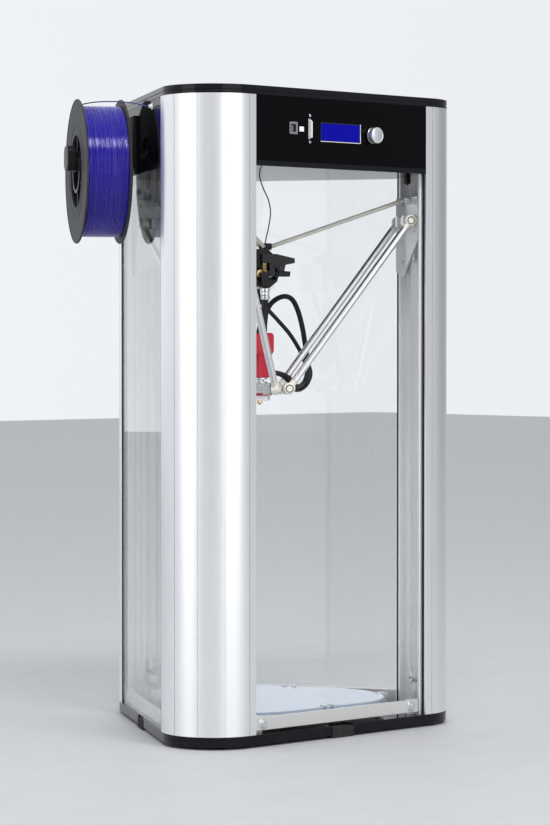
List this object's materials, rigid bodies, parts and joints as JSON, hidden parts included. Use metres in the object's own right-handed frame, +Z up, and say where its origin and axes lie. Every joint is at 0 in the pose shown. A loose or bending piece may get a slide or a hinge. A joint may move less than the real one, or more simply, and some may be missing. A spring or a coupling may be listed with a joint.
{
  "type": "delta 3d printer",
  "caption": "Tall delta 3D printer with rounded corner columns, clear side panels, a black top box with display and knob, belt-driven arms and a side spool.",
  "frame": {"origin": "on the floor, under the middle of the machine's bounding box", "axes": "+Z up, -Y out of the open front with the display, +X to the machine's right as seen from the front"},
  "size_m": [0.48, 0.4464, 0.87],
  "materials": {
    "black_plate": "thick black sheet with polished edges",
    "rubber": "ribbed black rubber",
    "column_aluminium": "satin anodised extrusion",
    "rail_aluminium": "satin anodised extrusion",
    "black_gloss": "mirror-gloss black acrylic sheet",
    "clear_panel": "clear sheet",
    "seal_rubber": "black extruded seal",
    "bar_aluminium": "brushed flat bar",
    "steel_fixings": "zinc-plated steel",
    "bed_aluminium": "milled plate",
    "bed_glass": "polished glass plate",
    "black_plastic": "moulded black plastic",
    "display_blue": "backlit blue display",
    "circuit_green": "circuit board with its components",
    "supply_case": "grey supply case",
    "motor_black": "black-painted motor",
    "belt_rubber": "black toothed belt",
    "holder_black": "black plastic",
    "white_plastic": "white plastic",
    "filament_blue": "translucent royal blue plastic strand",
    "filament_strand": "dark blue plastic strand",
    "card_white": "white plastic card",
    "spun_aluminium": "turned and spun aluminium",
    "rocker_red": "red rocker",
    "spool_grey": "dark grey plastic, radially brushed",
    "pulley_metal": "turned aluminium",
    "bracket_aluminium": "bent brushed sheet",
    "arm_aluminium": "polished tube",
    "cream_plastic": "ivory bearing plastic on steel axles",
    "hotend_metal": "turned fins and a brass nozzle",
    "shroud_red": "red plastic",
    "gear_brass": "machined brass",
    "spring_brass": "spring wire",
    "bearing_steel": "ground steel",
    "tube_black": "black sleeve",
    "cable_black": "black cable sheath",
    "cord_cream": "translucent elastic cord"
  },
  "bodies": {
    "root": {"base_plate": "black_plate", "rubber_feet": "rubber", "corner_columns": "column_aluminium", "tower_rails": "rail_aluminium", "top_plate": "black_plate", "front_fascia": "black_gloss", "side_fascias": "black_gloss", "ceiling_plate": "black_gloss", "side_panels": "clear_panel", "panel_seals": "seal_rubber", "cross_bars": "bar_aluminium", "bar_fixings": "steel_fixings", "bed_plate": "bed_aluminium", "bed_glass": "bed_glass", "bed_clamps": "black_plastic", "display": "display_blue", "control_board": "circuit_green", "mainboard": "circuit_green", "power_supply": "supply_case", "drive_motors": "motor_black", "drive_belts": "belt_rubber", "idler_brackets": "steel_fixings", "endstops": "black_plastic", "spool_holder": "holder_black", "inlet_grommet": "white_plastic", "filament": "filament_strand", "power_inlet": "black_plastic"},
    "memory_card": {"memory_card": "card_white"},
    "encoder_shaft": {"encoder_shaft": "steel_fixings"},
    "control_knob": {"control_knob": "spun_aluminium"},
    "power_rocker": {"power_rocker": "rocker_red"},
    "spool": {"spool": "spool_grey", "filament_winding": "filament_blue"},
    "effector": {"arm_tubes": "arm_aluminium", "arm_joints": "cream_plastic", "effector_plate": "bracket_aluminium", "hotend": "hotend_metal", "fan_shroud": "shroud_red", "extruder_body": "black_plastic", "extruder_motor": "motor_black", "guide_tube": "tube_black", "hotend_cables": "cable_black", "elastic_cords": "cord_cream", "lever_spring": "spring_brass"},
    "fan_rotor": {"fan_rotor": "black_plastic"},
    "drive_gear": {"drive_gear": "gear_brass"},
    "idler_lever": {"idler_lever": "black_plastic"},
    "idler_bearing": {"idler_bearing": "bearing_steel"},
    "drive_pulley_a": {"drive_pulley_a": "pulley_metal"},
    "idler_pulley_a": {"idler_pulley_a": "pulley_metal"},
    "carriage_a": {"carriage_a": "bracket_aluminium", "carriage_slider_a": "black_plastic"},
    "drive_pulley_b": {"drive_pulley_b": "pulley_metal"},
    "idler_pulley_b": {"idler_pulley_b": "pulley_metal"},
    "carriage_b": {"carriage_b": "bracket_aluminium", "carriage_slider_b": "black_plastic"},
    "drive_pulley_c": {"drive_pulley_c": "pulley_metal"},
    "idler_pulley_c": {"idler_pulley_c": "pulley_metal"},
    "carriage_c": {"carriage_c": "bracket_aluminium", "carriage_slider_c": "black_plastic"}
  },
  "joints": [
    {"name": "effector_lift", "type": "slide", "parent": "root", "child": "effector", "axis": [0, 0, 1], "range_m": [-0.405, 0.022], "deforming": ["filament"]},
    {"name": "carriage_a_slide", "type": "slide", "parent": "root", "child": "carriage_a", "axis": [0, 0, 1], "range_m": [-0.405, 0.022]},
    {"name": "carriage_b_slide", "type": "slide", "parent": "root", "child": "carriage_b", "axis": [0, 0, 1], "range_m": [-0.405, 0.022]},
    {"name": "carriage_c_slide", "type": "slide", "parent": "root", "child": "carriage_c", "axis": [0, 0, 1], "range_m": [-0.405, 0.022]},
    {"name": "drive_pulley_a_spin", "type": "hinge", "parent": "root", "child": "drive_pulley_a", "pos_m": [-0.19182, -0.15382, 0.815], "axis": [-0.866, -0.5, 0], "range_deg": [-200, 3334]},
    {"name": "drive_pulley_b_spin", "type": "hinge", "parent": "root", "child": "drive_pulley_b", "pos_m": [0.19182, -0.15382, 0.815], "axis": [0.866, -0.5, 0], "range_deg": [-200, 3334]},
    {"name": "drive_pulley_c_spin", "type": "hinge", "parent": "root", "child": "drive_pulley_c", "pos_m": [0, 0.17843, 0.815], "axis": [0, 1, 0], "range_deg": [-200, 3334]},
    {"name": "idler_pulley_a_spin", "type": "hinge", "parent": "root", "child": "idler_pulley_a", "pos_m": [-0.19182, -0.15382, 0.063], "axis": [-0.866, -0.5, 0], "range_deg": [-200, 3334]},
    {"name": "idler_pulley_b_spin", "type": "hinge", "parent": "root", "child": "idler_pulley_b", "pos_m": [0.19182, -0.15382, 0.063], "axis": [0.866, -0.5, 0], "range_deg": [-200, 3334]},
    {"name": "idler_pulley_c_spin", "type": "hinge", "parent": "root", "child": "idler_pulley_c", "pos_m": [0, 0.17843, 0.063], "axis": [0, 1, 0], "range_deg": [-200, 3334]},
    {"name": "spool_spin", "type": "hinge", "parent": "root", "child": "spool", "pos_m": [-0.16034, 0.11301, 0.7695], "axis": [-0.866, 0.5, 0], "continuous": true},
    {"name": "drive_gear_spin", "type": "hinge", "parent": "effector", "child": "drive_gear", "pos_m": [0.00095, -0.04362, 0.628], "axis": [0.5, 0.866, 0], "continuous": true},
    {"name": "idler_lever_tip", "type": "hinge", "parent": "effector", "child": "idler_lever", "pos_m": [0.01638, -0.0687, 0.636], "axis": [-0.5, -0.866, 0], "range_deg": [0, 8], "stiffness_Nm_per_rad": 1.5, "springref_deg": -11.46, "deforming": ["lever_spring"]},
    {"name": "idler_bearing_spin", "type": "hinge", "parent": "idler_lever", "child": "idler_bearing", "pos_m": [0.01204, -0.05003, 0.628], "axis": [0.5, 0.866, 0], "continuous": true},
    {"name": "fan_spin", "type": "hinge", "parent": "effector", "child": "fan_rotor", "pos_m": [-0.0205, -0.04308, 0.53], "axis": [1, 0, 0], "continuous": true},
    {"name": "knob_push", "type": "slide", "parent": "root", "child": "encoder_shaft", "axis": [0, 1, 0], "range_m": [0, 0.0008], "stiffness_N_per_m": 2000, "springref_m": -0.0004},
    {"name": "knob_turn", "type": "hinge", "parent": "encoder_shaft", "child": "control_knob", "pos_m": [0.053, -0.21307, 0.813], "axis": [0, -1, 0], "continuous": true},
    {"name": "card_slide", "type": "slide", "parent": "root", "child": "memory_card", "axis": [0, -1, 0], "range_m": [0, 0.022]},
    {"name": "power_rocker_tip", "type": "hinge", "parent": "root", "child": "power_rocker", "pos_m": [0.11886, 0.07636, 0.815], "axis": [-0.5, 0.866, 0], "range_deg": [-14, 0]}
  ],
  "couplings": [
    {"joint": "carriage_a_slide", "follows": "effector_lift", "ratio": 1},
    {"joint": "carriage_b_slide", "follows": "effector_lift", "ratio": 1},
    {"joint": "carriage_c_slide", "follows": "effector_lift", "ratio": 1},
    {"joint": "drive_pulley_a_spin", "follows": "effector_lift", "rad_per_m": -142.8},
    {"joint": "drive_pulley_b_spin", "follows": "effector_lift", "rad_per_m": -142.8},
    {"joint": "drive_pulley_c_spin", "follows": "effector_lift", "rad_per_m": -142.8},
    {"joint": "idler_pulley_a_spin", "follows": "effector_lift", "rad_per_m": -142.8},
    {"joint": "idler_pulley_b_spin", "follows": "effector_lift", "rad_per_m": -142.8},
    {"joint": "idler_pulley_c_spin", "follows": "effector_lift", "rad_per_m": -142.8},
    {"joint": "drive_gear_spin", "follows": "spool_spin", "ratio": -15.167},
    {"joint": "idler_bearing_spin", "follows": "spool_spin", "ratio": 18.2}
  ]
}
